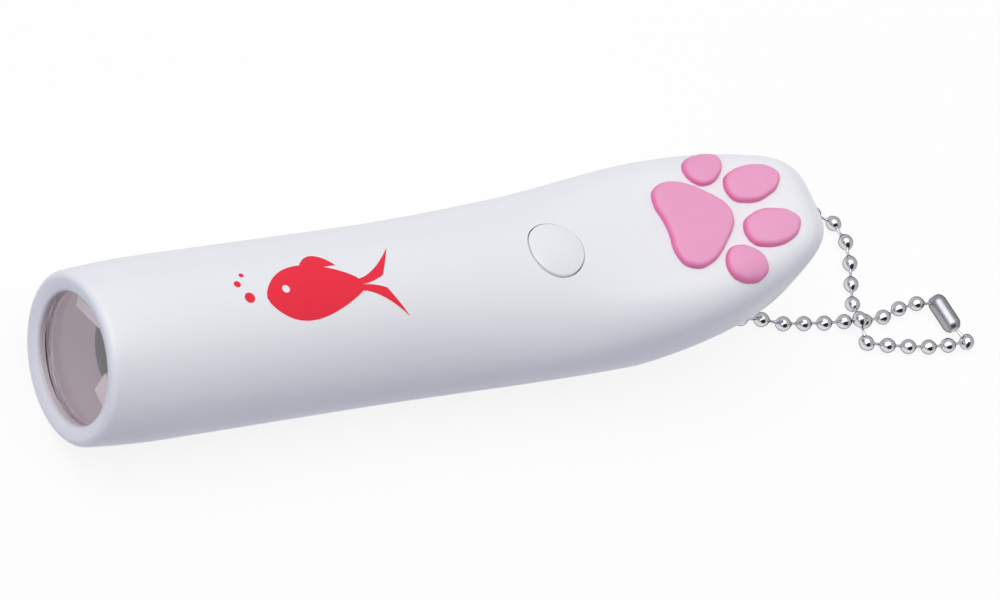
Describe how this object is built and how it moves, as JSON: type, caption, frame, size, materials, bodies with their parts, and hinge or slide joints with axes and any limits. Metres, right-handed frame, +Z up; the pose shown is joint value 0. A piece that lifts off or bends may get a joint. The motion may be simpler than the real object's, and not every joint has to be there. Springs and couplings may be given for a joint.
{
  "type": "cat light pointer",
  "caption": "Hand-held light pointer for cats: a round white tube that swells into an upturned paw, with a thumb button, pink pads, a recessed lens and a ball chain.",
  "frame": {"origin": "centre of the casing's box on the table, under the flat of the underside, measured without the chain", "axes": "+X from the lens to the tail, +Y to the far side, +Z up through the button and the pads"},
  "size_m": [0.1584, 0.0296, 0.0305],
  "materials": {
    "white_casing": "gloss",
    "pink_pad": "satin",
    "clear_lens": "clear",
    "pale_ring": "satin",
    "grey_barrel": "satin",
    "dark_film": "satin",
    "black_plastic": "satin",
    "lamp": "clear",
    "green_board": "satin",
    "beige_resistor": "satin",
    "pale_plunger": "satin",
    "brass": "satin",
    "steel": "satin",
    "red_wire": "satin",
    "black_wire": "satin",
    "bright_chain": "polished"
  },
  "bodies": {
    "casing": {"body_shell": "white_casing", "screw_insert": "brass", "front_lens": "clear_lens", "lens_ring": "pale_ring", "lens_barrel": "grey_barrel", "picture_slide": "dark_film", "led_holder": "black_plastic", "condenser_lens": "clear_lens", "led_lamp": "lamp", "led_leads": "steel", "circuit_board": "green_board", "board_screws": "steel", "resistor": "beige_resistor", "switch_body": "black_plastic", "switch_frame": "steel", "cell_cradle": "black_plastic", "button_cells": "steel", "contact_plate": "brass", "contact_spring": "steel", "wire_red": "red_wire", "wire_black": "black_wire", "main_pad": "pink_pad", "toe_pad_far_outer": "pink_pad", "toe_pad_far_inner": "pink_pad", "toe_pad_near_inner": "pink_pad", "toe_pad_near_outer": "pink_pad", "chain_beads": "bright_chain", "chain_links": "bright_chain", "chain_clasp": "bright_chain"},
    "button": {"button_cap": "white_casing", "switch_plunger": "pale_plunger"},
    "cover": {"battery_cover": "white_casing"},
    "screw": {"cover_screw": "steel"}
  },
  "joints": [
    {"name": "button_press", "type": "slide", "parent": "casing", "child": "button", "axis": [0, 0, -1], "range_m": [0, 0.0005], "stiffness_N_per_m": 2500},
    {"name": "cover_off", "type": "slide", "parent": "casing", "child": "cover", "axis": [0, 0, -1], "range_m": [0, 0.014]},
    {"name": "screw_turn", "type": "hinge", "parent": "cover", "child": "screw", "pos_m": [0.02018, 0, 0.006], "axis": [0, 0, 1], "continuous": true}
  ]
}
